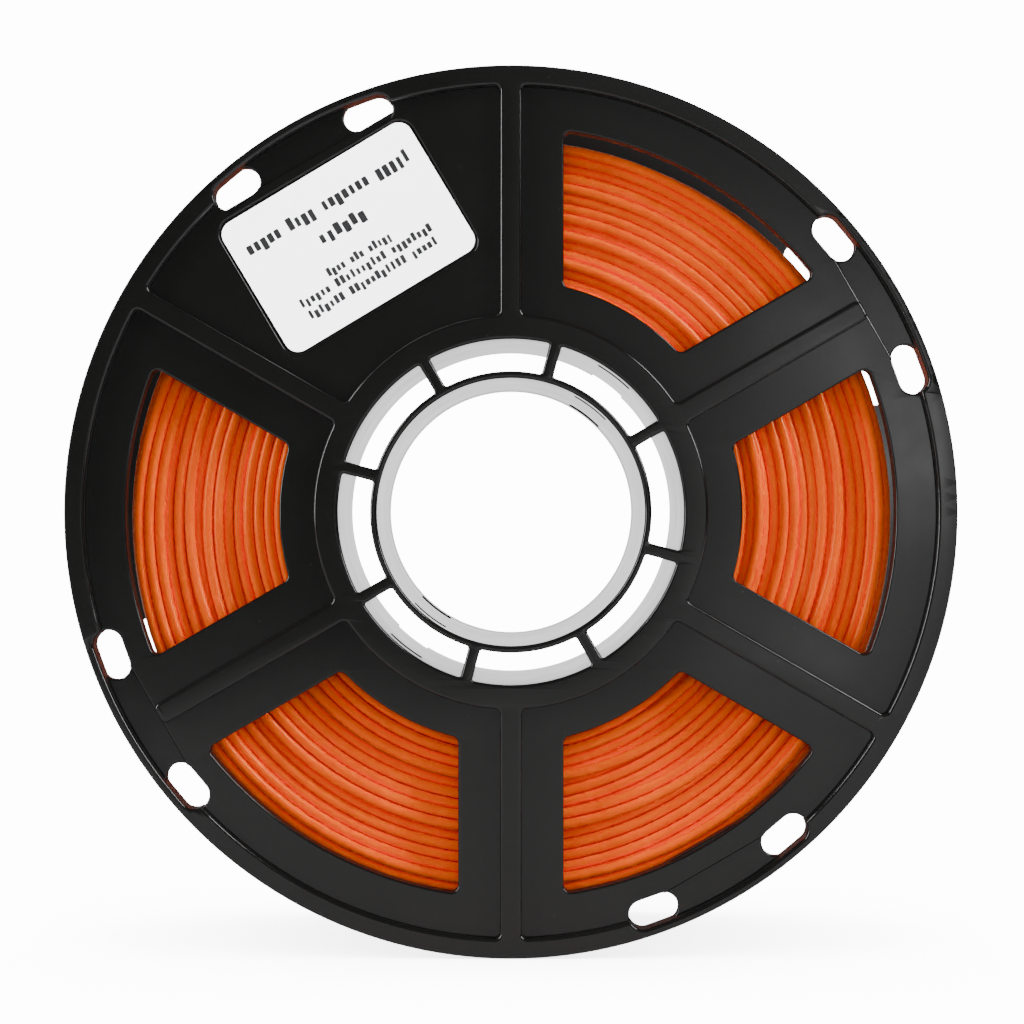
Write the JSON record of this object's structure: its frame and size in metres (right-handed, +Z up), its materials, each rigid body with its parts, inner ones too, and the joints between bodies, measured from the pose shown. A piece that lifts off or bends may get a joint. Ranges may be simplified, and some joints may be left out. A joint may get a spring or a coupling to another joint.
{
  "type": "filament spool",
  "caption": "Moulded spool with windowed flanges and a spoked hub, wound with a continuous orange plastic strand for 3-D printing.",
  "frame": {"origin": "on the spindle axis, half way across the spool's width", "axes": "+Y along the spindle axis, from the labelled front flange to the rear flange; +Z up with the spool standing on its rims"},
  "size_m": [0.158, 0.055, 0.158],
  "materials": {
    "black_plastic": "glossy moulded polystyrene, black",
    "orange_filament": "smooth, slightly translucent extruded strand",
    "label_paper": "matt coated paper"
  },
  "bodies": {
    "spool": {"spool_body": "black_plastic", "filament_winding": "orange_filament", "label": "label_paper"},
    "rear_flange": {"rear_flange": "black_plastic"}
  },
  "joints": [
    {"name": "rear_flange_pull", "type": "slide", "parent": "spool", "child": "rear_flange", "axis": [0, 1, 0], "range_m": [0, 0.04]}
  ]
}
